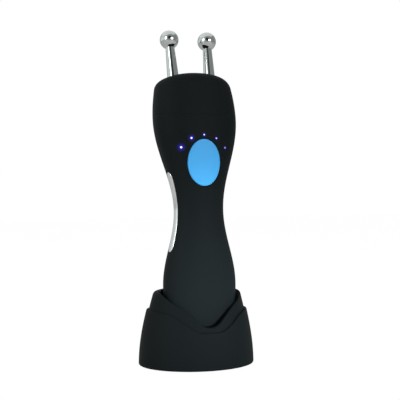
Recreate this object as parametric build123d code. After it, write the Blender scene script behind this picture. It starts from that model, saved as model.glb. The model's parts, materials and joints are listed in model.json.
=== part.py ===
from build123d import *
import math
import os

# A hand-held facial toning device standing in its two-piece stand.
# Millimetres. The origin is the centre of the stand's foot, on the table.
# +Z is up, -Y is the front with the button, +X is the right hand side from the front.

# ---- handset: heights of the five places that set its outline
FOOT_Z = 14.0
GRIP_Z = 50.0
WAIST_Z = 96.0
HEAD_Z = 153.0
TOP_Z = 180.4
SEAM_Z = 155.3

# ---- handset: full widths and depths at those places
FOOT_WIDTH = 37.0
GRIP_WIDTH = 45.9
WAIST_WIDTH = 30.8
HEAD_WIDTH = 53.2
TOP_WIDTH = 46.0
FOOT_DEPTH = 24.0
GRIP_DEPTH = 30.0
WAIST_DEPTH = 25.0
HEAD_DEPTH = 34.0
TOP_DEPTH = 31.0

SECTION_POWER = 2.3
SECTION_POINTS = 16
SECTION_START = 3
SECTION_STEPS = 12
FOOT_FILLET = 4.5
TOP_FILLET = 4.6
CROWN_RADIUS = 75.0
CROWN_LEAN_DEG = 6.0
WALL = 2.2
LINER_GAP = 0.12
LINER_THICK = 1.2

# ---- handset: the line it is built on, upright below and leaning back above
SPINE_Y = -6.8
SPINE_BEND_Z = 66.0
SPINE_RADIUS = 495.0

# ---- button and windows
BUTTON_Z = 125.6
BUTTON_WIDTH = 20.8
BUTTON_HEIGHT = 28.6
BUTTON_PROUD = 0.5
BUTTON_SKIN = 1.3
BUTTON_RIM = 1.6
BUTTON_GAP = 0.2
BUTTON_TRAVEL = 0.6
FLANGE_REACH = 1.0
STEM_RADIUS = 1.8
WINDOW_ARC = 16.9
WINDOW_STEP_DEG = 28.5
WINDOW_COUNT = 5
WINDOW_RADIUS = 0.7
WINDOW_GAP = 0.05

# ---- side strips
STRIP_Z = 95.3
STRIP_LENGTH = 49.5
STRIP_WIDTH = 7.6
STRIP_THICK = 1.0
STRIP_GAP = 0.1
STRIP_SEAT_GAP = 0.03
POST_RADIUS = 1.4
POST_GAP = 0.1
POST_REACH = 1.7
POST_SPACING = 27.0
PUSH_NUT_RADIUS = 2.3
PUSH_NUT_THICK = 0.5

# ---- probes
PROBE_SPACING = 24.2
PROBE_SPREAD_DEG = 1.2
PROBE_LEAN_DEG = 14.0
BALL_DIAMETER = 12.0
BALL_REACH = 25.5
SHAFT_TOP_RADIUS = 2.9
SHAFT_FOOT_RADIUS = 3.7
STUD_RADIUS = 2.0
STUD_LENGTH = 9.0
STUD_GAP = 0.1
PROBE_SEAT = 0.9
PROBE_NUT_FLATS = 7.0
PROBE_NUT_THICK = 3.0
TAG_RADIUS = 3.6
TAG_THICK = 0.6

# ---- head cap
SPIGOT_HEIGHT = 2.5

# ---- circuit board and what stands on it
BOARD_FRONT_Y = -7.4
BOARD_THICK = 1.6
BOARD_FOOT_Z = 84.0
BOARD_TOP_Z = 146.0
BOARD_NECK = 10.0
BOARD_HEAD = 17.0
BOARD_SHOULDER_Z = 112.0
BOARD_SHOULDER_RISE = 14.0
LED_SIZE = 2.0
LED_HEIGHT = 1.2
LED_GAP = 0.2
SWITCH_SIZE = 6.2
SWITCH_HEIGHT = 3.4
PLUNGER_RADIUS = 1.6
PLUNGER_REACH = 1.2
PLUNGER_DEPTH = 1.2
PLUNGER_GAP = 0.08
CHIP_SIZE = 9.0
CHIP_THICK = 1.4
CHIP_Z = 134.0
COIL_RADIUS = 4.6
COIL_HEIGHT = 4.6
COIL_Z = 103.0
STANDOFF_RADIUS = 2.4
BOARD_SCREW_RADIUS = 1.0
BOARD_SCREW_HEAD = 1.9
BOARD_SCREW_HEAD_THICK = 1.2
BOARD_SCREW_BITE = 5.0
STANDOFF_PLACES = [(-13.8, 142.4), (13.8, 142.4), (0.0, 87.2)]

# ---- battery and charging socket
CELL_RADIUS = 7.0
CELL_LENGTH = 49.0
CELL_FOOT_Z = 29.5
CELL_NUB_RADIUS = 2.6
CELL_NUB_HEIGHT = 1.0
HOLDER_GAP = 0.15
HOLDER_WALL = 1.3
RIB_HEIGHT = 3.0
RIB_WIDTH = 13.0
SOCKET_Y = -3.0
SOCKET_SIZE = 8.0
SOCKET_HEIGHT = 10.5
SOCKET_NOSE_RADIUS = 2.7
SOCKET_BORE_RADIUS = 1.8
SOCKET_BORE_LENGTH = 11.0
SOCKET_GAP = 0.1
SOCKET_RECESS = 0.4

# ---- screws that join the shells
SCREW_RADIUS = 1.2
SCREW_HEAD_RADIUS = 2.3
SCREW_HEAD_THICK = 1.6
SCREW_SINK = 1.0
SCREW_BITE = 6.0
SCREW_GAP = 0.03
BOSS_RADIUS = 3.0
LOWER_SCREW_X = 14.6
LOWER_SCREW_Z = 56.0
UPPER_SCREW_X = 17.4
UPPER_SCREW_Z = 149.2

# ---- stand
STAND_FOOT_Z = 0.4
RIM_Z = 46.5
BASE_WIDTH = 73.2
BASE_DEPTH = 62.4
RIM_WIDTH = 57.4
RIM_DEPTH = 50.0
RIM_Y = -1.5
STAND_STEPS = 7
SKIRT_WALL = 1.4
SHELL_GAP = 0.1
COLLAR_WALL = 2.0
COLLAR_LIP_REACH = 1.6
COLLAR_LIP_DROP = 3.0
SKIRT_FILLET = 1.0
NOTCH_Z = 25.9
SKIRT_NOTCH_Z = 23.0
SKIRT_RIM_Z = 34.8
SKIRT_LIP_HEIGHT = 1.4
SKIRT_LIP_REACH = 3.6
PLATE_THICK = 2.0
BALLAST_THICK = 4.0
BALLAST_GAP = 0.3
COLLAR_FLOOR = 2.0
INSERT_GAP = 0.1
INSERT_TOP_Z = 23.6
POCKET_GAP = 0.35
SEAT_GAP = 0.05
WELL_GAP = 0.6
FOOT_PAD_RADIUS = 4.0
FOOT_PAD_X = 22.0
FOOT_PAD_Y = 15.0
STAND_BOSS_RADIUS = 3.2
STAND_BOSS_X = 15.0
STAND_BOSS_Y = 18.0

FAR = 120.0


# ---------------------------------------------------------------- outline of the handset
def blend(a, b, t):
    """From a to b, level at both ends."""
    return a + (b - a) * (1 - math.cos(math.pi * t)) / 2


def fall(a, b, t):
    """From a to b, level at a only."""
    return a + (b - a) * (1 - math.cos(math.pi * t / 2))


def along(z, foot, grip, waist, head, top):
    """The value at height z of a size that is known at the five heights."""
    if z < GRIP_Z:
        return fall(grip, foot, (GRIP_Z - z) / (GRIP_Z - FOOT_Z))
    if z < WAIST_Z:
        return blend(grip, waist, (z - GRIP_Z) / (WAIST_Z - GRIP_Z))
    if z < HEAD_Z:
        return blend(waist, head, (z - WAIST_Z) / (HEAD_Z - WAIST_Z))
    return fall(head, top, (z - HEAD_Z) / (TOP_Z - HEAD_Z))


def half_width(z):
    return along(z, FOOT_WIDTH, GRIP_WIDTH, WAIST_WIDTH, HEAD_WIDTH, TOP_WIDTH) / 2


def half_depth(z):
    return along(z, FOOT_DEPTH, GRIP_DEPTH, WAIST_DEPTH, HEAD_DEPTH, TOP_DEPTH) / 2


def spine_y(z):
    rise = max(z - SPINE_BEND_Z, 0.0)
    return SPINE_Y + SPINE_RADIUS - math.sqrt(SPINE_RADIUS**2 - rise**2)


def spine_lean(z):
    """Backward lean of the spine at height z, in radians."""
    return math.asin(max(z - SPINE_BEND_Z, 0.0) / SPINE_RADIUS)


def spine_plane(z):
    lean = spine_lean(z)
    return Plane(origin=(0, spine_y(z), z), x_dir=(1, 0, 0), z_dir=(0, math.sin(lean), math.cos(lean)))


def front_y(z):
    """Y of the outer surface on the centre line of the front."""
    return spine_y(z) - half_depth(z)


def section(z, inset):
    """A squared oval across the spine at height z, inset from the outer surface."""
    power = 2 / SECTION_POWER
    points = []
    for i in range(SECTION_POINTS):
        turn = 2 * math.pi * (SECTION_START + i) / SECTION_POINTS
        c, s = math.cos(turn), math.sin(turn)
        x = (half_width(z) - inset) * math.copysign(abs(c) ** power, c)
        y = (half_depth(z) - inset) * math.copysign(abs(s) ** power, s)
        points.append((x, y))
    return spine_plane(z) * make_face(Spline(*points, periodic=True))


def crown(inset):
    """All that lies below the crowned top of the head, which leans back a little."""
    radius = CROWN_RADIUS - inset
    reach = HEAD_WIDTH * 0.6
    drop = radius - math.sqrt(radius**2 - reach**2)
    outline = ThreePointArc((-reach, -inset - drop), (0, -inset), (reach, -inset - drop))
    edge = -inset - drop
    outline += Polyline((reach, edge), (reach, -2 * TOP_Z), (-reach, -2 * TOP_Z), (-reach, edge))
    block = extrude(Plane.XZ * make_face(outline), amount=FAR, both=True)
    return Pos(0, spine_y(TOP_Z), TOP_Z) * Rot(-CROWN_LEAN_DEG, 0, 0) * block


def form(inset):
    """The whole handset as one solid, inset all over from its outer surface."""
    foot = FOOT_Z + inset
    above = TOP_Z + 6.0
    heights = [foot + (above - foot) * i / SECTION_STEPS for i in range(SECTION_STEPS + 1)]
    body = loft([section(z, inset) for z in heights])
    body = body & crown(inset)
    body = fillet(body.faces().sort_by(Axis.Z)[0].edges(), max(FOOT_FILLET - inset, 0.5))
    top_face = body.faces().sort_by(Axis.Z)[-1]
    return fillet(top_face.edges(), max(TOP_FILLET - inset, 0.5))


def front_half():
    """All that lies in front of the parting surface, which follows the spine."""
    high = TOP_Z + 30
    middle = (SPINE_BEND_Z + high) / 2
    line = Line((SPINE_Y, -10), (SPINE_Y, SPINE_BEND_Z))
    line += ThreePointArc((SPINE_Y, SPINE_BEND_Z), (spine_y(middle), middle), (spine_y(high), high))
    line += Polyline((spine_y(high), high), (-FAR, high), (-FAR, -10), (SPINE_Y, -10))
    return extrude(Plane.YZ * make_face(line), amount=FAR, both=True)


def slab(z0, z1):
    return Pos(0, 0, (z0 + z1) / 2) * Box(2 * FAR, 2 * FAR, z1 - z0)


def rod_y(x, z, y0, y1, radius):
    """A round rod along Y."""
    return Pos(x, (y0 + y1) / 2, z) * Rot(90, 0, 0) * Cylinder(radius, abs(y1 - y0))


def rod_x(y, z, x0, x1, radius):
    """A round rod along X."""
    return Pos((x0 + x1) / 2, y, z) * Rot(0, 90, 0) * Cylinder(radius, abs(x1 - x0))


def save(shape, node):
    export_step(shape, f"parts/{node}.step")
    print(node, len(shape.solids()), round(shape.volume, 1))


# ---------------------------------------------------------------- side strips
def strip_block(side, shrink):
    """The outline of a side strip, as a block that passes out through one flank."""
    width = STRIP_WIDTH - 2 * shrink
    outline = SlotOverall(STRIP_LENGTH - 2 * shrink, width, rotation=90)
    block = extrude(Plane.YZ * outline, amount=FAR / 2)
    lean = math.degrees(spine_lean(STRIP_Z))
    block = Pos(side * 2, spine_y(STRIP_Z), STRIP_Z) * Rot(-lean, 0, 0) * block
    return block if side > 0 else mirror(block, Plane.YZ)


def post_heights():
    return [STRIP_Z - POST_SPACING / 2, STRIP_Z + POST_SPACING / 2]


def post_end(z):
    return half_width(z) - WALL - POST_REACH


def side_strip(side, outer, under):
    strip = (outer - under) & strip_block(side, STRIP_GAP)
    for z in post_heights():
        post_root = half_width(z) - STRIP_THICK / 2
        strip += rod_x(spine_y(z), z, side * post_end(z), side * post_root, POST_RADIUS)
    return strip


def push_nuts():
    nuts = []
    for side in (-1, 1):
        for z in post_heights():
            inner = side * (post_end(z) + 0.2)
            outer = inner + side * PUSH_NUT_THICK
            nut = rod_x(spine_y(z), z, inner, outer, PUSH_NUT_RADIUS)
            nuts.append(nut - rod_x(spine_y(z), z, inner, outer, POST_RADIUS))
    return nuts


# ---------------------------------------------------------------- button and windows
def oval_rod(grow, y0, y1):
    """The button's oval, grown all round, as a rod along Y."""
    oval = Ellipse(BUTTON_WIDTH / 2 + grow, BUTTON_HEIGHT / 2 + grow)
    rod = extrude(Plane.XZ * oval, amount=y1 - y0)
    return Pos(0, y1, BUTTON_Z) * rod


def front_rod(grow):
    return oval_rod(grow, -FAR / 2, BOARD_FRONT_Y)


def button_cap(proud, skin_back, flange_front, flange_back):
    cap = (proud - skin_back) & front_rod(0)
    cap += (proud - flange_back) & (front_rod(0) - front_rod(-BUTTON_RIM))
    cap += (flange_front - flange_back) & (front_rod(FLANGE_REACH) - front_rod(-BUTTON_RIM))
    stem_front = front_y(BUTTON_Z) + BUTTON_SKIN / 2
    cap += rod_y(0, BUTTON_Z, stem_front, plunger_tip(), STEM_RADIUS)
    return cap


def window_places():
    """X and Z of each window, on an arc about the button's centre."""
    first = -(WINDOW_COUNT - 1) / 2
    turns = [math.radians((first + i) * WINDOW_STEP_DEG) for i in range(WINDOW_COUNT)]
    return [(WINDOW_ARC * math.sin(t), BUTTON_Z + WINDOW_ARC * math.cos(t)) for t in turns]


def light_guides(outer):
    back = BOARD_FRONT_Y - LED_HEIGHT - LED_GAP
    return [rod_y(x, z, back, -FAR / 2, WINDOW_RADIUS) & outer for x, z in window_places()]


# ---------------------------------------------------------------- circuit board
def main_board():
    shoulder_top = BOARD_SHOULDER_Z + BOARD_SHOULDER_RISE
    corner = 4.0
    right = [(BOARD_NECK, BOARD_FOOT_Z), (BOARD_NECK, BOARD_SHOULDER_Z), (BOARD_HEAD, shoulder_top)]
    right += [(BOARD_HEAD, BOARD_TOP_Z - corner), (BOARD_HEAD - corner, BOARD_TOP_Z)]
    left = [(-x, z) for x, z in reversed(right)]
    outline = make_face(Polyline(*right, *left, right[0]))
    board = Pos(0, BOARD_FRONT_Y + BOARD_THICK, 0) * extrude(Plane.XZ * outline, amount=BOARD_THICK)
    for x, z in STANDOFF_PLACES:
        board -= rod_y(x, z, BOARD_FRONT_Y - 1, BOARD_FRONT_Y + 3, BOARD_SCREW_RADIUS + SCREW_GAP)
    return board


def leds():
    y = BOARD_FRONT_Y - LED_HEIGHT / 2
    return [Pos(x, y, z) * Box(LED_SIZE, LED_HEIGHT, LED_SIZE) for x, z in window_places()]


def plunger_tip():
    return BOARD_FRONT_Y - SWITCH_HEIGHT - PLUNGER_REACH


def tact_switch():
    front = BOARD_FRONT_Y - SWITCH_HEIGHT
    body = Pos(0, (front + BOARD_FRONT_Y) / 2, BUTTON_Z) * Box(SWITCH_SIZE, SWITCH_HEIGHT, SWITCH_SIZE)
    body = chamfer(body.edges().filter_by(Axis.Y), 0.6)
    well = PLUNGER_DEPTH + BUTTON_TRAVEL + 0.3
    return body - rod_y(0, BUTTON_Z, front - 1, front + well, PLUNGER_RADIUS + PLUNGER_GAP)


def switch_plunger():
    front = BOARD_FRONT_Y - SWITCH_HEIGHT
    return rod_y(0, BUTTON_Z, plunger_tip(), front + PLUNGER_DEPTH, PLUNGER_RADIUS)


def control_chip():
    back = BOARD_FRONT_Y + BOARD_THICK
    return Pos(0, back + CHIP_THICK / 2, CHIP_Z) * Box(CHIP_SIZE, CHIP_THICK, CHIP_SIZE)


def step_up_coil():
    """A drum core with a waisted winding, standing on the back of the board."""
    back = BOARD_FRONT_Y + BOARD_THICK
    flange = COIL_HEIGHT * 0.2
    coil = rod_y(0, COIL_Z, back, back + flange, COIL_RADIUS)
    coil += rod_y(0, COIL_Z, back + flange, back + COIL_HEIGHT - flange, COIL_RADIUS * 0.86)
    return coil + rod_y(0, COIL_Z, back + COIL_HEIGHT - flange, back + COIL_HEIGHT, COIL_RADIUS)


def board_screws():
    back = BOARD_FRONT_Y + BOARD_THICK
    screws = []
    for x, z in STANDOFF_PLACES:
        screw = rod_y(x, z, BOARD_FRONT_Y - BOARD_SCREW_BITE, back, BOARD_SCREW_RADIUS)
        screws.append(screw + rod_y(x, z, back, back + BOARD_SCREW_HEAD_THICK, BOARD_SCREW_HEAD))
    return screws


def standoffs(solid):
    posts = Part()
    for x, z in STANDOFF_PLACES:
        posts += rod_y(x, z, -FAR / 2, BOARD_FRONT_Y, STANDOFF_RADIUS) & solid
    return posts


def standoff_holes():
    holes = Part()
    for x, z in STANDOFF_PLACES:
        start = BOARD_FRONT_Y - BOARD_SCREW_BITE - 0.5
        holes += rod_y(x, z, start, BOARD_FRONT_Y + 1, BOARD_SCREW_RADIUS + SCREW_GAP)
    return holes


# ---------------------------------------------------------------- screws of the shells
def screw_places():
    lower = [(-LOWER_SCREW_X, LOWER_SCREW_Z), (LOWER_SCREW_X, LOWER_SCREW_Z)]
    return lower + [(-UPPER_SCREW_X, UPPER_SCREW_Z), (UPPER_SCREW_X, UPPER_SCREW_Z)]


def back_y(x, z):
    """Y of the outer surface at the back, at the given place."""
    share = (abs(x) / half_width(z)) ** SECTION_POWER
    return spine_y(z) + half_depth(z) * (1 - share) ** (1 / SECTION_POWER)


def head_seat(x, z):
    """Y of the shoulder that a screw's head pulls on."""
    return back_y(x, z) - SCREW_SINK - SCREW_HEAD_THICK


def bosses(solid):
    tubes = Part()
    for x, z in screw_places():
        tubes += rod_y(x, z, -FAR / 2, FAR / 2, BOSS_RADIUS) & solid
    return tubes


def screw_holes(front):
    holes = Part()
    for x, z in screw_places():
        if front:
            start = spine_y(z) - SCREW_BITE - 0.5
            holes += rod_y(x, z, start, spine_y(z) + 3, SCREW_RADIUS + SCREW_GAP)
        else:
            holes += rod_y(x, z, spine_y(z) - 3, FAR / 2, SCREW_RADIUS + SCREW_GAP)
            holes += rod_y(x, z, head_seat(x, z), FAR / 2, SCREW_HEAD_RADIUS + 0.15)
    return holes


def shell_screws():
    screws = []
    for x, z in screw_places():
        seat = head_seat(x, z)
        screw = rod_y(x, z, spine_y(z) - SCREW_BITE, seat, SCREW_RADIUS)
        head = rod_y(x, z, seat, seat + SCREW_HEAD_THICK, SCREW_HEAD_RADIUS)
        slot = Pos(x, seat + SCREW_HEAD_THICK, z) * Box(0.6, 1.2, 2.6)
        cross = Pos(x, seat + SCREW_HEAD_THICK, z) * Box(2.6, 1.2, 0.6)
        screws.append(screw + head - slot - cross)
    return screws


# ---------------------------------------------------------------- battery and socket
def battery_cell():
    body = Pos(0, SPINE_Y, CELL_FOOT_Z + CELL_LENGTH / 2) * Cylinder(CELL_RADIUS, CELL_LENGTH)
    body = fillet(body.edges(), 0.6)
    top = CELL_FOOT_Z + CELL_LENGTH
    return body + Pos(0, SPINE_Y, top + CELL_NUB_HEIGHT / 2) * Cylinder(CELL_NUB_RADIUS, CELL_NUB_HEIGHT)


def holder_radius():
    return CELL_RADIUS + HOLDER_GAP + HOLDER_WALL


def battery_holder():
    """A half tube behind the cell with a wall at each end."""
    low = CELL_FOOT_Z - HOLDER_WALL
    high = CELL_FOOT_Z + CELL_LENGTH + CELL_NUB_HEIGHT + HOLDER_WALL
    middle = (low + high) / 2
    tube = Pos(0, SPINE_Y, middle) * Cylinder(holder_radius(), high - low)
    hollow_low = CELL_FOOT_Z
    hollow_high = high - HOLDER_WALL
    hollow_middle = (hollow_low + hollow_high) / 2
    tube -= Pos(0, SPINE_Y, hollow_middle) * Cylinder(CELL_RADIUS + HOLDER_GAP, hollow_high - hollow_low)
    opening = Pos(0, SPINE_Y - FAR / 2 - 1, middle) * Box(FAR, FAR, FAR)
    return tube - opening


def holder_ribs(solid):
    """Two ribs on the rear shell that the battery holder sits against."""
    ribs = Part()
    for z in (CELL_FOOT_Z + 8, CELL_FOOT_Z + CELL_LENGTH - 10):
        ribs += Pos(0, SPINE_Y + FAR / 2, z) * Box(RIB_WIDTH, FAR, RIB_HEIGHT) & solid
    return ribs - Pos(0, SPINE_Y, FAR / 2) * Cylinder(holder_radius(), FAR)


def charge_socket():
    seat = FOOT_Z + WALL
    low = FOOT_Z + SOCKET_RECESS
    body = Pos(0, SOCKET_Y, seat + SOCKET_HEIGHT / 2) * Box(SOCKET_SIZE, SOCKET_SIZE, SOCKET_HEIGHT)
    body = chamfer(body.edges().filter_by(Axis.Z), 1.0)
    body += Pos(0, SOCKET_Y, (low + seat) / 2) * Cylinder(SOCKET_NOSE_RADIUS, seat - low)
    bore = Cylinder(SOCKET_BORE_RADIUS, SOCKET_BORE_LENGTH)
    return body - Pos(0, SOCKET_Y, low + SOCKET_BORE_LENGTH / 2) * bore


# ---------------------------------------------------------------- probes
def probe_plane(side):
    """Frame at a probe's seat: Z runs out along the probe."""
    x = side * PROBE_SPACING / 2
    drop = CROWN_RADIUS - math.sqrt(CROWN_RADIUS**2 - x**2)
    lean = math.radians(CROWN_LEAN_DEG)
    seat = (x, spine_y(TOP_Z) - drop * math.sin(lean), TOP_Z - drop * math.cos(lean))
    a, b = math.radians(PROBE_LEAN_DEG), math.radians(side * PROBE_SPREAD_DEG)
    return Plane(origin=seat, x_dir=(1, 0, 0), z_dir=(math.tan(b), math.sin(a), math.cos(a)))


def probe(side):
    """Threaded stud, tapered shaft and ball, turned in one piece."""
    taper = (SHAFT_FOOT_RADIUS - SHAFT_TOP_RADIUS) / (BALL_REACH - BALL_DIAMETER / 2)
    length = BALL_REACH + PROBE_SEAT
    shaft = Cone(SHAFT_FOOT_RADIUS, SHAFT_FOOT_RADIUS - taper * length, length)
    turned = Pos(0, 0, length / 2 - PROBE_SEAT) * shaft + Pos(0, 0, BALL_REACH) * Sphere(BALL_DIAMETER / 2)
    turned += Pos(0, 0, -STUD_LENGTH / 2) * Cylinder(STUD_RADIUS, STUD_LENGTH)
    return probe_plane(side) * turned


def probe_holes(outer):
    """Through holes for the studs and flat seats for the shafts."""
    holes = Part()
    for side in (-1, 1):
        frame = probe_plane(side)
        holes += frame * Cylinder(STUD_RADIUS + STUD_GAP, 3 * STUD_LENGTH)
        mouth = Cylinder(SHAFT_FOOT_RADIUS + STUD_GAP, STUD_LENGTH)
        holes += frame * Pos(0, 0, STUD_LENGTH / 2 - PROBE_SEAT) * mouth
    return holes


def inner_seat():
    """Depth, along a probe, of the flat face inside the cap that its tag lies on."""
    return -PROBE_SEAT - WALL - 0.4


def seat_pads(inner):
    """Thickened pads under the crown, so that tags and nuts seat flat."""
    pads = Part()
    for side in (-1, 1):
        pad = probe_plane(side) * Pos(0, 0, inner_seat() / 2) * Cylinder(TAG_RADIUS + 0.8, -inner_seat())
        pads += pad & inner
    return pads


def probe_tags():
    tags = []
    for side in (-1, 1):
        ring = Pos(0, 0, inner_seat() - TAG_THICK / 2) * Cylinder(TAG_RADIUS, TAG_THICK)
        ring -= Pos(0, 0, inner_seat() - TAG_THICK / 2) * Cylinder(STUD_RADIUS, 2 * TAG_THICK)
        tags.append(probe_plane(side) * ring)
    return tags


def probe_nuts():
    nuts = []
    top = inner_seat() - TAG_THICK
    for side in (-1, 1):
        hexagon = RegularPolygon(PROBE_NUT_FLATS / 2, 6, major_radius=False) - Circle(STUD_RADIUS)
        nut = Pos(0, 0, top - PROBE_NUT_THICK) * extrude(hexagon, amount=PROBE_NUT_THICK)
        nuts.append(probe_plane(side) * nut)
    return nuts


# ---------------------------------------------------------------- stand
def stand_form(inset, low, high):
    """The stand's outer form, inset from its surface, between two heights; its rim sits a little forward."""
    sections = []
    for i in range(STAND_STEPS + 1):
        share = i / STAND_STEPS
        a = fall(BASE_WIDTH, RIM_WIDTH, share) / 2 - inset
        b = fall(BASE_DEPTH, RIM_DEPTH, share) / 2 - inset
        sections.append(Pos(0, fall(0, RIM_Y, share), RIM_Z * share) * Ellipse(a, b))
    return loft(sections) & slab(low, high)


def rim_cut(points, level):
    """All above a rim: a wave across the front half, level round the back half."""
    edge = points[-1]
    right = Spline(*points, tangents=[(1, 0), (1, 0)])
    left = mirror(right, Plane.YZ)
    over = Polyline(edge, (FAR, edge[1]), (FAR, FAR), (-FAR, FAR), (-FAR, edge[1]), (-edge[0], edge[1]))
    front = extrude(Plane.XZ * make_face(right + over + left), amount=FAR)
    back = Pos(0, FAR / 2, level + FAR / 2) * Box(2 * FAR, FAR, FAR)
    return front + back


def collar_rim():
    low = NOTCH_Z
    points = [(0, low), (5, low + 1.4), (10, low + 6.1), (15, low + 10.7), (22, low + 15.3)]
    points.append((27.5, RIM_Z - 0.2))
    return rim_cut(points, RIM_Z - 0.2)


def skirt_rim():
    low = SKIRT_NOTCH_Z
    points = [(0, low), (8, low + 0.6), (15, low + 4.8), (21, low + 9.2), (30.5, SKIRT_RIM_Z)]
    return rim_cut(points, SKIRT_RIM_Z)


def plate_z():
    return STAND_FOOT_Z + SKIRT_LIP_HEIGHT


def floor_z():
    """Underside of the collar's floor."""
    return plate_z() + PLATE_THICK + BALLAST_THICK


def stand_skirt():
    skirt = stand_form(0, STAND_FOOT_Z, RIM_Z) - stand_form(SKIRT_WALL, plate_z(), RIM_Z)
    skirt -= stand_form(SKIRT_LIP_REACH, 0, RIM_Z)
    skirt = fillet(skirt.edges().group_by(Axis.Z)[0].sort_by(SortBy.LENGTH)[-1], SKIRT_FILLET)
    return skirt - skirt_rim()


def collar_inset():
    return SKIRT_WALL + SHELL_GAP


def stand_boss_places():
    return [(sx * STAND_BOSS_X, sy * STAND_BOSS_Y) for sx in (-1, 1) for sy in (-1, 1)]


def stand_collar(pocket_form):
    """A cup whose rim has a lip turned inwards, which closes in on the handset."""
    low = plate_z() + PLATE_THICK
    floor_top = floor_z() + COLLAR_FLOOR
    inner = collar_inset() + COLLAR_WALL
    rim = collar_rim()
    cup = stand_form(collar_inset(), low, RIM_Z) - stand_form(inner, low, floor_z())
    cup -= stand_form(inner, floor_top, RIM_Z) - Pos(0, 0, -COLLAR_LIP_DROP) * rim
    cup -= stand_form(inner + COLLAR_LIP_REACH, floor_top, RIM_Z)
    cup = cup - pocket_form - rim
    for x, y in stand_boss_places():
        height = floor_z() - low
        cup += Pos(x, y, low + height / 2) * Cylinder(STAND_BOSS_RADIUS, height)
        depth = height + COLLAR_FLOOR / 2
        cup -= Pos(x, y, low + depth / 2) * Cylinder(SCREW_RADIUS + SCREW_GAP, depth)
    return cup


def base_plate():
    plate = stand_form(collar_inset(), plate_z(), plate_z() + PLATE_THICK)
    for x, y in stand_boss_places():
        plate -= Pos(x, y, plate_z()) * Cylinder(SCREW_RADIUS + SCREW_GAP, 4 * PLATE_THICK)
        plate -= Pos(x, y, plate_z()) * Cylinder(SCREW_HEAD_RADIUS + 0.15, SCREW_SINK * 2)
    return plate


def base_screws():
    screws = []
    seat = plate_z() + SCREW_SINK
    for x, y in stand_boss_places():
        head = Pos(x, y, seat - SCREW_SINK / 2) * Cylinder(SCREW_HEAD_RADIUS, SCREW_SINK)
        shank = Pos(x, y, seat + SCREW_BITE / 2) * Cylinder(SCREW_RADIUS, SCREW_BITE)
        screws.append(head + shank)
    return screws


def ballast_plate():
    low = plate_z() + PLATE_THICK
    inset = collar_inset() + COLLAR_WALL + BALLAST_GAP
    plate = stand_form(inset, low, low + BALLAST_THICK)
    for x, y in stand_boss_places():
        plate -= Pos(x, y, low) * Cylinder(STAND_BOSS_RADIUS + BALLAST_GAP, 3 * BALLAST_THICK)
    return plate


def cradle_insert(pocket_form):
    """A soft pad under the handset's foot and a soft sleeve around it, lying on the cup's floor."""
    inset = collar_inset() + COLLAR_WALL + INSERT_GAP
    pad_top = FOOT_Z - SEAT_GAP
    round_top = FOOT_Z + FOOT_FILLET
    pad = stand_form(inset, floor_z() + COLLAR_FLOOR, pad_top)
    well = Pos(0, 0, pad_top - round_top) * extrude(section(round_top, -WELL_GAP), amount=round_top - pad_top)
    sleeve = stand_form(inset, pad_top, INSERT_TOP_Z) - Pos(0, 0, POCKET_GAP - SEAT_GAP) * pocket_form
    return [pad, sleeve - well]


def rubber_feet():
    places = [(sx * FOOT_PAD_X, sy * FOOT_PAD_Y) for sx in (-1, 1) for sy in (-1, 1)]
    return [Pos(x, y, plate_z() / 2) * Cylinder(FOOT_PAD_RADIUS, plate_z()) for x, y in places]


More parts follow.
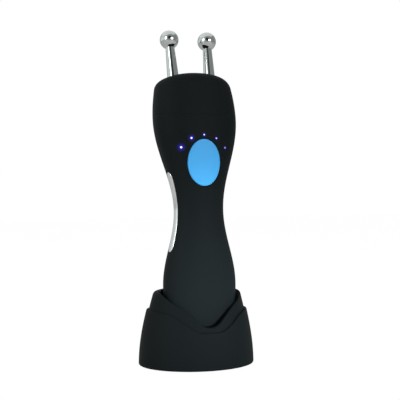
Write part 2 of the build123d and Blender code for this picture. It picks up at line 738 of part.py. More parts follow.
# ---------------------------------------------------------------- build
def main():
    os.makedirs("parts", exist_ok=True)
    outer = form(0)
    inner = form(WALL)
    skin = outer - inner
    front = front_half()
    below = slab(-FAR, SEAM_Z)

    mid_wall = form(WALL / 2)
    seat_form = form(STRIP_THICK + STRIP_SEAT_GAP)
    recesses = (strip_block(1, 0) + strip_block(-1, 0)) - seat_form
    post_holes = Part()
    for z in post_heights():
        reach = half_width(z) + 2
        post_holes += rod_x(spine_y(z), z, -reach, -8, POST_RADIUS + POST_GAP)
        post_holes += rod_x(spine_y(z), z, 8, reach, POST_RADIUS + POST_GAP)
    nose_hole = Pos(0, SOCKET_Y, FOOT_Z) * Cylinder(SOCKET_NOSE_RADIUS + SOCKET_GAP, 3 * WALL)

    shell = (skin & below) - recesses - post_holes - nose_hole
    tubes = bosses(mid_wall) & below
    front_shell = (shell & front) + (tubes & front) + standoffs(mid_wall)
    front_shell -= front_rod(BUTTON_GAP) - slab(-FAR, BUTTON_Z - BUTTON_HEIGHT)
    for x, z in window_places():
        front_shell -= rod_y(x, z, BOARD_FRONT_Y - LED_HEIGHT, -FAR / 2, WINDOW_RADIUS + WINDOW_GAP)
    front_shell = front_shell - screw_holes(True) - standoff_holes()
    save(front_shell, "front_shell")

    rear_shell = (shell - front) + (tubes - front) + holder_ribs(mid_wall)
    save(rear_shell - screw_holes(False), "rear_shell")

    liner_front = form(WALL + LINER_GAP)
    liner_back = form(WALL + LINER_GAP + LINER_THICK)
    spigot = (liner_front - liner_back) & slab(SEAM_Z - SPIGOT_HEIGHT, SEAM_Z + SPIGOT_HEIGHT)
    bridge = (mid_wall - liner_back) & slab(SEAM_Z, SEAM_Z + SPIGOT_HEIGHT)
    head_cap = (skin & slab(SEAM_Z, 2 * FAR)) + spigot + bridge + seat_pads(mid_wall)
    save(head_cap - probe_holes(outer), "head_cap")

    strip_under = form(STRIP_THICK)
    save(side_strip(-1, outer, strip_under), "side_contact_left")
    save(side_strip(1, outer, strip_under), "side_contact_right")
    save(Compound(push_nuts()), "contact_nuts")

    save(button_cap(form(-BUTTON_PROUD), form(BUTTON_SKIN), liner_front, liner_back), "button_cap")
    save(switch_plunger(), "switch_plunger")
    save(tact_switch(), "tact_switch")
    save(Compound(light_guides(outer)), "light_guides")
    save(Compound(leds()), "leds")
    save(main_board(), "main_board")
    save(control_chip(), "control_chip")
    save(step_up_coil(), "step_up_coil")
    save(Compound(board_screws()), "board_screws")
    save(Compound(shell_screws()), "shell_screws")
    save(battery_cell(), "battery_cell")
    save(battery_holder(), "battery_holder")
    save(charge_socket(), "charge_socket")

    save(probe(-1), "probe_left")
    save(probe(1), "probe_right")
    save(Compound(probe_tags()), "probe_tags")
    save(Compound(probe_nuts()), "probe_nuts")

    save(stand_skirt(), "stand_skirt")
    pocket_form = form(-POCKET_GAP)
    save(stand_collar(pocket_form), "stand_collar")
    save(Compound(cradle_insert(pocket_form)), "cradle_insert")
    save(base_plate(), "base_plate")
    save(ballast_plate(), "ballast_plate")
    save(Compound(base_screws()), "base_screws")
    save(Compound(rubber_feet()), "rubber_feet")


main()
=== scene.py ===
# %% [markdown]
# # Facial toning device on its stand
#
# The device is a black hand-held body with two chromed probes on its head, a blue button, five
# lit windows and a bright metal contact strip on each flank. It stands in a two-shell stand.
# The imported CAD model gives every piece's place. This lesson models the pieces that are seen,
# at the same sizes, and gives each piece its finish.

# %% Load the frame and the tools
import json
import math
import bpy
from mathutils import Matrix, Vector


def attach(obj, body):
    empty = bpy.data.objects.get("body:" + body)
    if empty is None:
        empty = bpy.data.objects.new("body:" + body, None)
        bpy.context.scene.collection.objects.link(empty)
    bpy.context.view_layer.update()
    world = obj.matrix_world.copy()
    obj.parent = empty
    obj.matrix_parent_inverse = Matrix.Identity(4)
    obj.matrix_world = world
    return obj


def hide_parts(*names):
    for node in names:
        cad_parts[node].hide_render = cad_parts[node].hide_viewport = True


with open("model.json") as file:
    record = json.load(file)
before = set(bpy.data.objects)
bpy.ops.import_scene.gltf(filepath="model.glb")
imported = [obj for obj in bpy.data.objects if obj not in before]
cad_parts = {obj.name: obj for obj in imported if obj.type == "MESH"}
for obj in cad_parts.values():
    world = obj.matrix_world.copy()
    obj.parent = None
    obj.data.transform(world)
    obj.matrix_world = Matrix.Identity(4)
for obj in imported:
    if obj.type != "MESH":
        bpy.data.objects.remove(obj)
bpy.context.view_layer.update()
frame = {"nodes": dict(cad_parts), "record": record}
NODES = frame["nodes"]
MM = 0.001
print("CAD nodes:", len(NODES))

# %% [markdown]
# ## The camera
#
# A long lens, level with the device's middle and a little to the left of its front, keeps the
# upright lines nearly parallel. It is made first, so that every later piece can be looked at
# from the right place.

# %% Camera
VIEW_TURN = math.radians(19.06)
VIEW_PITCH = math.radians(-0.6)
VIEW_ROLL = math.radians(-0.36)
LENS, SENSOR_WIDTH = 83.0, 36.0
CAMERA_PLACE = Vector((-186.37, -548.25, 108.6)) * MM
FARTHEST_VIEW = 20.0

bpy.ops.object.camera_add()
camera = bpy.context.object
camera.name = "camera"
camera.data.lens = LENS
camera.data.sensor_width = SENSOR_WIDTH
camera.data.clip_end = FARTHEST_VIEW
turn = Matrix.Rotation(-VIEW_TURN, 4, "Z") @ Matrix.Rotation(math.pi / 2 + VIEW_PITCH, 4, "X")
camera.matrix_world = Matrix.Translation(CAMERA_PLACE) @ turn @ Matrix.Rotation(VIEW_ROLL, 4, "Z")
bpy.context.scene.camera = camera
bpy.context.scene.view_settings.view_transform = "Standard"
print("camera: lens", LENS, "mm, turned", round(math.degrees(VIEW_TURN), 1), "degrees")

# %% [markdown]
# ## Hands for modelling
#
# Almost every piece here is a soft closed skin: a body, a shell, a button, a ball on a stem. Each
# can be made as a stack of rings. A circle is added, extruded ring by ring, and then every ring is
# pushed to its own outline. That gives even quads, which shade smoothly, and it needs no
# subdivision. Where two rings fall on one line or one point, merging by distance closes the skin.

# %% Selecting, applying and finishing
def deselect():
    if bpy.context.object and bpy.context.object.mode != "OBJECT":
        bpy.ops.object.mode_set(mode="OBJECT")
    bpy.ops.object.select_all(action="DESELECT")


def pick(piece):
    """Makes one piece the selected and active one."""
    deselect()
    piece.select_set(True)
    bpy.context.view_layer.objects.active = piece


def apply_modifier(piece, kind, **settings):
    pick(piece)
    modifier = piece.modifiers.new(kind.lower(), kind)
    for setting, value in settings.items():
        setattr(modifier, setting, value)
    bpy.ops.object.modifier_apply(modifier=modifier.name)


def smooth(piece, degrees=35):
    pick(piece)
    bpy.ops.object.shade_smooth_by_angle(angle=math.radians(degrees))


def copy_of(piece, name):
    twin = piece.copy()
    twin.data = piece.data.copy()
    twin.name = twin.data.name = name
    bpy.context.scene.collection.objects.link(twin)
    return twin


def discard(piece):
    bpy.data.objects.remove(piece, do_unlink=True)


# %% A skin of rings
MERGE_REACH = 1e-7


def ring_skin(name, columns, stations, place):
    """A closed skin: one ring of points per station, each point put where place() says, in mm."""
    deselect()
    bpy.ops.mesh.primitive_circle_add(vertices=columns, radius=1, fill_type="NOTHING")
    piece = bpy.context.object
    piece.name = piece.data.name = name
    bpy.ops.object.mode_set(mode="EDIT")
    bpy.ops.mesh.select_all(action="SELECT")
    for _ in stations[1:]:
        bpy.ops.mesh.extrude_region_move(TRANSFORM_OT_translate={"value": (0, 0, 1)})
    bpy.ops.object.mode_set(mode="OBJECT")
    for vertex in piece.data.vertices:
        station = stations[round(vertex.co.z)]
        angle = math.atan2(vertex.co.y, vertex.co.x)
        column = round(angle / (2 * math.pi) * columns) % columns
        vertex.co = Vector(place(station, 2 * math.pi * column / columns)) * MM
    bpy.ops.object.mode_set(mode="EDIT")
    bpy.ops.mesh.select_all(action="SELECT")
    bpy.ops.mesh.remove_doubles(threshold=MERGE_REACH)
    bpy.ops.mesh.normals_make_consistent(inside=False)
    bpy.ops.object.mode_set(mode="OBJECT")
    return piece


def steps(low, high, count):
    """Even values from low to high, both ends included."""
    return [low + (high - low) * i / count for i in range(count + 1)]


def rounding(count):
    """Shares of a quarter round from its flat side to its wall: how far inset, how far down."""
    return [(1 - math.sin(turned), 1 - math.cos(turned)) for turned in steps(0, math.pi / 2, count)]


def carve(piece, tool):
    """Takes the tool's volume out of a piece and throws the tool away."""
    apply_modifier(piece, "BOOLEAN", operation="DIFFERENCE", object=tool, solver="EXACT")
    discard(tool)


# %% [markdown]
# ## The handset's outline
#
# A hand-held body like this is drawn as a row of squared ovals on a gently leaning spine. Five
# heights set it: foot, grip, waist, head and top. Between them the sizes run on cosine curves,
# which leave each height level, so that no crease shows where two stretches meet.

# %% Driving sizes of the handset, in millimetres
FOOT_Z, GRIP_Z, WAIST_Z, HEAD_Z, TOP_Z = 14.0, 50.0, 96.0, 153.0, 180.4
SEAM_Z = 155.3
WIDTHS = (37.0, 45.9, 30.8, 53.2, 46.0)
DEPTHS = (24.0, 30.0, 25.0, 34.0, 31.0)
SECTION_POWER = 2.3
FOOT_ROUND = 4.5
TOP_ROUND = 4.6
WALL = 2.2
CROWN_RADIUS = 75.0
CROWN_LEAN = math.radians(6.0)
SPINE_Y, SPINE_BEND_Z, SPINE_RADIUS = -6.8, 66.0, 495.0
PASSES = 8
print("handset:", max(WIDTHS), "wide,", max(DEPTHS), "deep,", round(TOP_Z - FOOT_Z, 1), "high")


# %% Curves of the outline
def blend(a, b, t):
    """A curve from a to b that is level at both ends."""
    return a + (b - a) * (1 - math.cos(math.pi * t)) / 2


def fall(a, b, t):
    """A curve from a to b that is level at a alone."""
    return a + (b - a) * (1 - math.cos(math.pi * t / 2))


def along(z, sizes):
    """Half of a size of the section at spine height z."""
    foot, grip, waist, head, top = sizes
    if z < GRIP_Z:
        return fall(grip, foot, (GRIP_Z - z) / (GRIP_Z - FOOT_Z)) / 2
    if z < WAIST_Z:
        return blend(grip, waist, (z - GRIP_Z) / (WAIST_Z - GRIP_Z)) / 2
    if z < HEAD_Z:
        return blend(waist, head, (z - WAIST_Z) / (HEAD_Z - WAIST_Z)) / 2
    return fall(head, top, (z - HEAD_Z) / (TOP_Z - HEAD_Z)) / 2


def lean(z):
    """How far the spine leans back at height z, as an angle."""
    return math.asin(max(z - SPINE_BEND_Z, 0.0) / SPINE_RADIUS)


def spine_y(z):
    return SPINE_Y + SPINE_RADIUS * (1 - math.cos(lean(z)))


def on_section(z, across, back):
    """A point of the section at spine height z, in the handset's frame."""
    return Vector((across, spine_y(z) + back * math.cos(lean(z)), z - back * math.sin(lean(z))))


def wall_point(z, angle):
    """A point of the squared oval at spine height z."""
    power = 2 / SECTION_POWER
    c, s = math.cos(angle), math.sin(angle)
    across = along(z, WIDTHS) * math.copysign(abs(c) ** power, c)
    back = along(z, DEPTHS) * math.copysign(abs(s) ** power, s)
    return on_section(z, across, back)


def crown_height(x, y):
    """Height of the crowned top above the point x, y."""
    drop = CROWN_RADIUS - math.sqrt(CROWN_RADIUS**2 - x**2)
    reach = (y - spine_y(TOP_Z) + drop * math.sin(CROWN_LEAN)) / math.cos(CROWN_LEAN)
    return TOP_Z - reach * math.sin(CROWN_LEAN) - drop * math.cos(CROWN_LEAN)


def top_level(angle):
    """Spine height of the section point where the wall meets the crown."""
    z = TOP_Z
    for _ in range(PASSES):
        point = wall_point(z, angle)
        z += crown_height(point.x, point.y) - point.z
    return z


print("half widths:", [round(along(z, WIDTHS), 1) for z in (FOOT_Z, GRIP_Z, WAIST_Z, HEAD_Z, TOP_Z)])

# %% [markdown]
# ## The handset's skin
#
# The whole body is made once, as one closed skin, and then cut into its three mouldings, so that
# their surfaces run into each other across the seams as moulded parts do. The foot and the top
# are rounded by arcs that touch the wall and the flat. An arc is drawn as a weighted curve between
# its two touching points, with the sharp corner as its handle.

# %% Skin of the whole handset
BODY_COLUMNS, WALL_RINGS = 112, 84


def arc_between(a, corner, b, share):
    """A point of the round arc from a to b, which would meet in the corner."""
    half = (a - corner).angle(b - corner) / 2
    weight = 2 * share * (1 - share) * math.sin(half)
    total = (1 - share) ** 2 + weight + share**2
    return (a * (1 - share) ** 2 + corner * weight + b * share**2) / total


def inward(point, centre, reach):
    """A point moved towards the centre by reach, in plan."""
    flat = Vector((centre.x - point.x, centre.y - point.y, 0)).normalized()
    return point + flat * reach


def body_point(station, angle):
    """A station is (part of the skin, share of the way along it)."""
    part, share = station
    centre = Vector((0, SPINE_Y, FOOT_Z))
    wall_low = FOOT_Z + FOOT_ROUND
    if part in ("foot", "foot_round"):
        corner = wall_point(FOOT_Z, angle)
        low = inward(corner, centre, FOOT_ROUND)
        if part == "foot":
            return centre.lerp(low, share)
        return arc_between(low, corner, wall_point(wall_low, angle), share)
    high = top_level(angle)
    if part == "wall":
        return wall_point(wall_low + (high - TOP_ROUND - wall_low) * share, angle)
    corner = wall_point(high, angle)
    centre = Vector((0, spine_y(TOP_Z), 0))
    edge = inward(corner, centre, TOP_ROUND)
    edge.z = crown_height(edge.x, edge.y)
    if part == "top_round":
        return arc_between(wall_point(high - TOP_ROUND, angle), corner, edge, share)
    point = centre.lerp(edge, share)
    point.z = crown_height(point.x, point.y)
    return point


body_stations = [("foot", share) for share in steps(0, 0.9, 4)]
body_stations += [("foot_round", share) for share in steps(0, 0.92, 8)]
body_stations += [("wall", share) for share in steps(0, 1, WALL_RINGS)]
body_stations += [("top_round", share) for share in steps(0.08, 1, 9)]
body_stations += [("crown", share) for share in steps(0.93, 0, 12)]
body_skin = ring_skin("body_skin", BODY_COLUMNS, body_stations, body_point)
print("body skin:", len(body_skin.data.polygons), "faces")

# %% Room for the handset in the stand
POCKET_GAP = 0.35
pocket = copy_of(body_skin, "pocket")
apply_modifier(pocket, "DISPLACE", strength=POCKET_GAP * MM, mid_level=0.0)
print("pocket:", POCKET_GAP, "wider than the handset all round")

# %% [markdown]
# ## Plugs that follow the skin
#
# The button, the windows, the strips and the holes they sit in all have an outline drawn on the
# curved skin and sides that go straight in. So one helper makes them all. It takes an outline, a
# list of rings, each with its size and its depth under the skin, and the face of the body that
# it lies on. A hole's cutter flares where it leaves the skin, which leaves a rounded lip.

# %% Faces of the body
def squared(share):
    """Height of the squared oval, as a share, at a share of its half width."""
    return (1 - min(abs(share), 1.0) ** SECTION_POWER) ** (1 / SECTION_POWER)


def skin_y(x, z, side):
    """Y of the skin at the front (side -1) or the back (side 1)."""
    level = z
    for _ in range(PASSES):
        back = side * along(level, DEPTHS) * squared(x / along(level, WIDTHS))
        level = z + back * math.sin(lean(level))
    return spine_y(level) + back * math.cos(lean(level))


def skin_x(y, z):
    """Half width of the skin at the given place on a flank."""
    level = z
    for _ in range(PASSES):
        back = (y - spine_y(level)) / math.cos(lean(level))
        level = z + back * math.sin(lean(level))
    return along(level, WIDTHS) * squared(back / along(level, DEPTHS))


print("skin at the waist: flank", round(skin_x(spine_y(WAIST_Z), WAIST_Z), 1),
      "front", round(skin_y(0, WAIST_Z, -1), 1))

# %% Outlines and plugs
CUTTER_REACH = 4.0


def oval(centre_x, centre_z, width, height):
    """Outline of an oval: gives x and z of a ring that is scaled and grown."""
    def outline(scale, grow, angle):
        x = centre_x + (width / 2 * scale + grow) * math.cos(angle)
        return x, centre_z + (height / 2 * scale + grow) * math.sin(angle)
    return outline


def skin_plug(name, columns, outline, side, rings):
    """A closed piece on the front or back; a ring is (scale, grow, depth under the skin)."""
    def place(ring, angle):
        scale, grow, depth = ring
        x, z = outline(scale, grow, angle)
        return x, skin_y(x, z, side) - side * depth, z
    return ring_skin(name, columns, rings, place)


def hole_rings(gap, lip, depth):
    """Rings of a cutter with a flared mouth."""
    rings = [(0, 0, -CUTTER_REACH), (1, gap + lip, -CUTTER_REACH)]
    rings += [(1, gap + lip * flare, lip * drop) for flare, drop in rounding(5)]
    return rings + [(1, gap, depth), (0, 0, depth)]


# %% [markdown]
# ## Cutting the body into its mouldings
#
# The cap is the body above the seam. Below it the body parts along its spine into a front and a
# rear moulding. A copy of the skin is cut for each, given its wall inwards, and its cut edges are
# broken a little, which draws the fine parting lines.

# %% Cutting and walls
EDGE_BREAK, SHARP_EDGE = 0.06, math.radians(45)


def cut_level(piece, z, keep_above):
    """Cuts a skin level at z and deletes one side of it."""
    pick(piece)
    bpy.ops.object.mode_set(mode="EDIT")
    bpy.ops.mesh.select_all(action="SELECT")
    bpy.ops.mesh.bisect(plane_co=(0, 0, z * MM), plane_no=(0, 0, 1),
                        clear_inner=keep_above, clear_outer=not keep_above)
    bpy.ops.object.mode_set(mode="OBJECT")


def drop_half(piece, side):
    """Deletes the front half (side -1) or the rear half (side 1) of a skin."""
    deselect()
    bpy.context.view_layer.objects.active = piece
    bpy.ops.object.mode_set(mode="EDIT")
    bpy.ops.mesh.select_mode(type="FACE")
    bpy.ops.mesh.select_all(action="DESELECT")
    bpy.ops.object.mode_set(mode="OBJECT")
    for face in piece.data.polygons:
        centre = face.center / MM
        face.select = (centre.y - spine_y(centre.z)) * side > 0
    bpy.ops.object.mode_set(mode="EDIT")
    bpy.ops.mesh.delete(type="FACE")
    bpy.ops.mesh.select_mode(type="VERT")
    bpy.ops.object.mode_set(mode="OBJECT")


def wall_in(piece):
    """Gives a skin its wall inwards and breaks the sharp edges."""
    apply_modifier(piece, "SOLIDIFY", thickness=WALL * MM, offset=-1, use_even_offset=True)
    apply_modifier(piece, "BEVEL", width=EDGE_BREAK * MM, segments=2, limit_method="ANGLE",
                   angle_limit=SHARP_EDGE)


# %% Front, rear and cap
front = copy_of(body_skin, "handset_front")
rear = copy_of(body_skin, "handset_rear")
cap = copy_of(body_skin, "handset_cap")
discard(body_skin)
cut_level(cap, SEAM_Z, keep_above=True)
for shell, side in ((front, 1), (rear, -1)):
    cut_level(shell, SEAM_Z, keep_above=False)
    drop_half(shell, side)
for shell in (front, rear, cap):
    wall_in(shell)
print("mouldings:", [len(shell.data.polygons) for shell in (front, rear, cap)])

# %% [markdown]
# ## Button
#
# The button is an oval cap that stands half a millimetre proud and follows the body's curve. Its
# edge is rounded, and a flange under the skin keeps it in. The hole around it has a soft lip.

# %% Button and its hole
BUTTON_Z, BUTTON_WIDTH, BUTTON_HEIGHT = 125.6, 20.8, 28.6
BUTTON_COLUMNS, BUTTON_PROUD, BUTTON_GAP, BUTTON_ROUND = 96, 0.5, 0.2, 0.6
BUTTON_LIP, BUTTON_HOLE_DEPTH = 0.4, 7.0
FLANGE_TOP, FLANGE_FOOT, FLANGE_REACH = 2.35, 3.5, 1.0
PLUNGER_Y, STEM_RADIUS, STEM_ROUND, STEM_OVERLAP = -12.0, 1.8, 0.3, 0.5

button_outline = oval(0, BUTTON_Z, BUTTON_WIDTH, BUTTON_HEIGHT)
button_rings = [(scale, 0, -BUTTON_PROUD) for scale in steps(0, 0.9, 9)]
for inset, drop in rounding(6):
    button_rings.append((1, -BUTTON_ROUND * inset, BUTTON_ROUND * drop - BUTTON_PROUD))
button_rings += [(1, 0, FLANGE_TOP), (1, FLANGE_REACH, FLANGE_TOP), (1, FLANGE_REACH, FLANGE_FOOT),
                 (0.5, 0, FLANGE_FOOT), (0, 0, FLANGE_FOOT)]
button = skin_plug("button", BUTTON_COLUMNS, button_outline, -1, button_rings)

stem_front = skin_y(0, BUTTON_Z, -1) + FLANGE_FOOT - STEM_OVERLAP
deselect()
bpy.ops.mesh.primitive_cylinder_add(
    vertices=32, radius=STEM_RADIUS * MM, depth=(PLUNGER_Y - stem_front) * MM,
    location=(0, (PLUNGER_Y + stem_front) / 2 * MM, BUTTON_Z * MM), rotation=(math.pi / 2, 0, 0))
stem = bpy.context.object
bpy.ops.object.transform_apply(location=True, rotation=True, scale=True)
apply_modifier(stem, "BEVEL", width=STEM_ROUND * MM, segments=2)
deselect()
stem.select_set(True)
button.select_set(True)
bpy.context.view_layer.objects.active = button
bpy.ops.object.join()
smooth(button)
button_hole = hole_rings(BUTTON_GAP, BUTTON_LIP, BUTTON_HOLE_DEPTH)
carve(front, skin_plug("button_hole", BUTTON_COLUMNS, button_outline, -1, button_hole))
print("button:", len(button.data.polygons), "faces, front moulding now", len(front.data.polygons))

# %% [markdown]
# ## Lit windows
#
# Five clear light guides end in small domes on an arc above the button. They are modelled once per
# place, because each has to sit square in its own spot of the curved skin.

# %% Windows
WINDOW_ARC, WINDOW_STEP, WINDOW_COLUMNS = 16.9, math.radians(28.5), 32
WINDOW_RADIUS, WINDOW_DOME, WINDOW_EDGE = 0.7, 0.12, 0.1
WINDOW_GAP, WINDOW_LIP, WINDOW_HOLE_DEPTH = 0.05, 0.12, 4.0
LED_FRONT = -8.8

windows = []
window_places = []
for i in range(5):
    turn_angle = (i - 2) * WINDOW_STEP
    x, z = WINDOW_ARC * math.sin(turn_angle), BUTTON_Z + WINDOW_ARC * math.cos(turn_angle)
    window_places.append(Vector((x, skin_y(x, z, -1), z)) * MM)
    outline = oval(x, z, 2 * WINDOW_RADIUS, 2 * WINDOW_RADIUS)
    depth = LED_FRONT - skin_y(x, z, -1)
    rings = [(s, 0, -WINDOW_DOME * (1 - s**2)) for s in steps(0, 0.92, 6)]
    rings += [(1, 0, WINDOW_EDGE), (1, 0, depth), (0, 0, depth)]
    windows.append(skin_plug(f"window_{i + 1}", WINDOW_COLUMNS, outline, -1, rings))
    hole = hole_rings(WINDOW_GAP, WINDOW_LIP, WINDOW_HOLE_DEPTH)
    carve(front, skin_plug("window_hole", WINDOW_COLUMNS, outline, -1, hole))
for window in windows:
    smooth(window, 50)
print("windows at", [tuple(round(c / MM, 1) for c in place) for place in window_places])

# %% [markdown]
# ## Contact strips
#
# Each flank carries a long strip with round ends, let into the skin. Its face is very slightly
# crowned and its edges are rounded, so that it catches a bright line along each side. The same
# outline, run through in even steps, makes the strip and the cutter of its recess.

# %% Outline of a strip
STRIP_Z, STRIP_LENGTH, STRIP_WIDTH, STRIP_THICK = 95.3, 49.5, 7.6, 1.0
STRIP_GAP, STRIP_SEAT_GAP, STRIP_ROUND, STRIP_CROWN = 0.1, 0.03, 0.45, 0.12
STRIP_COLUMNS = 136


def strip_ring(scale, grow, angle):
    """Across and along of a point on a stadium: its middle line plus a round reach.

    The run starts halfway up a side, so that points of both sides meet on the middle line.
    """
    radius = STRIP_WIDTH / 2
    straight = STRIP_LENGTH - STRIP_WIDTH
    around = 2 * straight + 2 * math.pi * radius
    run = (angle / (2 * math.pi) * around + straight / 2) % around
    reach = radius * scale + grow
    if run < straight:
        return reach, run - straight / 2
    run -= straight
    if run < math.pi * radius:
        return reach * math.cos(run / radius), straight / 2 + reach * math.sin(run / radius)
    run -= math.pi * radius
    if run < straight:
        return -reach, straight / 2 - run
    turned = math.pi + (run - straight) / radius
    return reach * math.cos(turned), -straight / 2 + reach * math.sin(turned)


def strip_plug(name, side, rings):
    """A closed piece on a flank; a ring is (scale, grow, depth under the skin)."""
    tilt = lean(STRIP_Z)

    def place(ring, angle):
        scale, grow, depth = ring
        across, up = strip_ring(scale, grow, angle)
        y = spine_y(STRIP_Z) + across * math.cos(tilt) + up * math.sin(tilt)
        z = STRIP_Z + up * math.cos(tilt) - across * math.sin(tilt)
        return side * (skin_x(y, z) - depth), y, z
    return ring_skin(name, STRIP_COLUMNS, rings, place)


# %% Strips and their recesses
RECESS_LIP, LIP_MIDDLE = 0.2, 0.06
strip_rings = [(scale, 0, -STRIP_CROWN * (1 - scale**2)) for scale in steps(0, 0.8, 6)]
for inset, drop in rounding(6):
    strip_rings.append((1, -STRIP_GAP - STRIP_ROUND * inset, STRIP_ROUND * drop))
strip_rings += [(1, -STRIP_GAP, STRIP_THICK), (0.5, 0, STRIP_THICK), (0, 0, STRIP_THICK)]

recess_depth = STRIP_THICK + STRIP_SEAT_GAP
recess_rings = [(0, 0, -CUTTER_REACH), (1, RECESS_LIP, -CUTTER_REACH), (1, RECESS_LIP, 0)]
recess_rings += [(1, LIP_MIDDLE, LIP_MIDDLE), (1, 0, RECESS_LIP), (1, 0, recess_depth)]
recess_rings += [(scale, 0, recess_depth) for scale in steps(0.8, 0, 4)]
strips = []
for side, word in ((-1, "left"), (1, "right")):
    strip = strip_plug(f"contact_strip_{word}", side, strip_rings)
    smooth(strip, 40)
    strips.append(strip)
    for shell in (front, rear):
        carve(shell, strip_plug("recess", side, recess_rings))
print("strips:", len(strips), "of", len(strips[0].data.polygons), "faces")

# %% [markdown]
# ## Holes in the rear and the foot
#
# Four screws hold the mouldings together from behind, each in a round well. A round charging
# socket opens in the foot, in the rear moulding, clear of the parting line.

# %% Screw wells and socket hole
SCREW_PLACES = [(-14.6, 56.0), (14.6, 56.0), (-17.4, 149.2), (17.4, 149.2)]
HOLE_COLUMNS = 48
SCREW_WELL_RADIUS, SCREW_WELL_DEPTH, SCREW_WELL_LIP = 2.45, 5.0, 0.25
SOCKET_Y, SOCKET_HOLE_RADIUS, SOCKET_LIP = -3.0, 2.8, 0.3
SOCKET_BELOW, SOCKET_ABOVE = FOOT_Z - 2, FOOT_Z + 4

for x, z in SCREW_PLACES:
    well = oval(x, z, 2 * SCREW_WELL_RADIUS, 2 * SCREW_WELL_RADIUS)
    well_rings = hole_rings(0, SCREW_WELL_LIP, SCREW_WELL_DEPTH)
    carve(rear, skin_plug("well", HOLE_COLUMNS, well, 1, well_rings))


def socket_point(ring, angle):
    """A ring is (radius, z) on the socket's upright axis."""
    radius, z = ring
    return radius * math.cos(angle), SOCKET_Y + radius * math.sin(angle), z


socket_rings = [(0, SOCKET_BELOW), (SOCKET_HOLE_RADIUS + SOCKET_LIP, SOCKET_BELOW)]
for flare, rise in rounding(4):
    socket_rings.append((SOCKET_HOLE_RADIUS + SOCKET_LIP * flare, FOOT_Z + SOCKET_LIP * rise))
socket_rings += [(SOCKET_HOLE_RADIUS, SOCKET_ABOVE), (0, SOCKET_ABOVE)]
carve(rear, ring_skin("socket_hole", HOLE_COLUMNS, socket_rings, socket_point))
print("rear moulding:", len(rear.data.polygons), "faces,", len(SCREW_PLACES), "wells, one socket hole")

# %% [markdown]
# ## Probes
#
# Each probe is turned in one piece: a tapered stem that ends in a ball, with a threaded stud below
# the crown. A turned part is one ring per change of its profile. The corner between stem and ball
# gets a tiny round, as polishing leaves it.

# %% Place and profile of a probe
PROBE_COLUMNS = 72
PROBE_SPACING, PROBE_SPREAD, PROBE_LEAN = 24.2, math.radians(1.2), math.radians(14.0)
BALL_RADIUS, BALL_REACH = 6.0, 25.5
SHAFT_TOP_RADIUS, SHAFT_FOOT_RADIUS = 2.9, 3.7
STUD_RADIUS, STUD_LENGTH, STUD_ROUND = 2.0, 9.0, 0.4
PROBE_SEAT, SEAT_GAP, SEAT_LIP, SEAT_LIP_HEIGHT, SEAT_REACH = 0.9, 0.1, 0.35, 0.6, 6
FOOT_EDGE, NECK_EDGE, NECK_FLARE, NECK_SKIP = 0.15, 0.25, 1.05, 0.05


def probe_frame(side):
    """Place and turn of a probe's seat on the crown, with Z along the probe."""
    x = side * PROBE_SPACING / 2
    drop = CROWN_RADIUS - math.sqrt(CROWN_RADIUS**2 - x**2)
    back, height = drop * math.sin(CROWN_LEAN), drop * math.cos(CROWN_LEAN)
    seat = Vector((x, spine_y(TOP_Z) - back, TOP_Z - height))
    axis = Vector((math.tan(side * PROBE_SPREAD), math.sin(PROBE_LEAN), math.cos(PROBE_LEAN)))
    axis.normalize()
    right = Vector((1, 0, 0))
    right = (right - axis * right.dot(axis)).normalized()
    turned = Matrix((right, axis.cross(right), axis)).transposed()
    return Matrix.Translation(seat) @ turned.to_4x4()


def turned_piece(name, rings, frame_matrix):
    """A turned piece; a ring is (radius, height) along the frame's Z."""
    def place(ring, angle):
        radius, height = ring
        return frame_matrix @ Vector((radius * math.cos(angle), radius * math.sin(angle), height))
    return ring_skin(name, PROBE_COLUMNS, rings, place)


taper = (SHAFT_FOOT_RADIUS - SHAFT_TOP_RADIUS) / (BALL_REACH - BALL_RADIUS)
neck_turn = math.asin(SHAFT_TOP_RADIUS * NECK_FLARE / BALL_RADIUS)
neck_height = BALL_REACH - BALL_RADIUS * math.cos(neck_turn)
profile = [(0, -STUD_LENGTH), (STUD_RADIUS - STUD_ROUND, -STUD_LENGTH)]
profile += [(STUD_RADIUS, -STUD_LENGTH + STUD_ROUND)]
profile += [(STUD_RADIUS, -PROBE_SEAT), (SHAFT_FOOT_RADIUS - FOOT_EDGE, -PROBE_SEAT)]
profile += [(SHAFT_FOOT_RADIUS - taper * height, height)
            for height in steps(-PROBE_SEAT + FOOT_EDGE, neck_height - NECK_EDGE, 14)]
profile += [(BALL_RADIUS * math.sin(t), BALL_REACH - BALL_RADIUS * math.cos(t))
            for t in steps(neck_turn + NECK_SKIP, math.pi, 40)]
print("profile of a probe:", len(profile), "rings")

# %% Probes and their seats
hole = SHAFT_FOOT_RADIUS + SEAT_GAP
seat_rings = [(0, SEAT_REACH), (hole + SEAT_LIP, SEAT_REACH), (hole + SEAT_LIP, SEAT_LIP_HEIGHT)]
seat_rings += [(hole, SEAT_GAP), (hole, -PROBE_SEAT), (0, -PROBE_SEAT)]
probes = []
for side, word in ((-1, "left"), (1, "right")):
    seat = probe_frame(side)
    probe = turned_piece(f"chrome_probe_{word}", profile, seat)
    smooth(probe, 40)
    probes.append(probe)
    carve(cap, turned_piece("seat", seat_rings, seat))
for shell in (front, rear, cap):
    smooth(shell, 32)
print("probes:", len(probes), "of", len(probe.data.polygons), "faces, cap now", len(cap.data.polygons))

# %% [markdown]
# ## The stand's two shells
#
# The stand is a soft cone on an oval foot. The collar is a cup whose rim dips to a rounded V in
# front, so that the handset can be taken hold of, and the skirt wraps its lower part with a rim
# that waves along below it. Each shell is one skin of rings: up the outside, over the rim, and
# down the inside. Every column of points ends at its own height of the rim, so the rim is a clean
# line of edges however it waves.

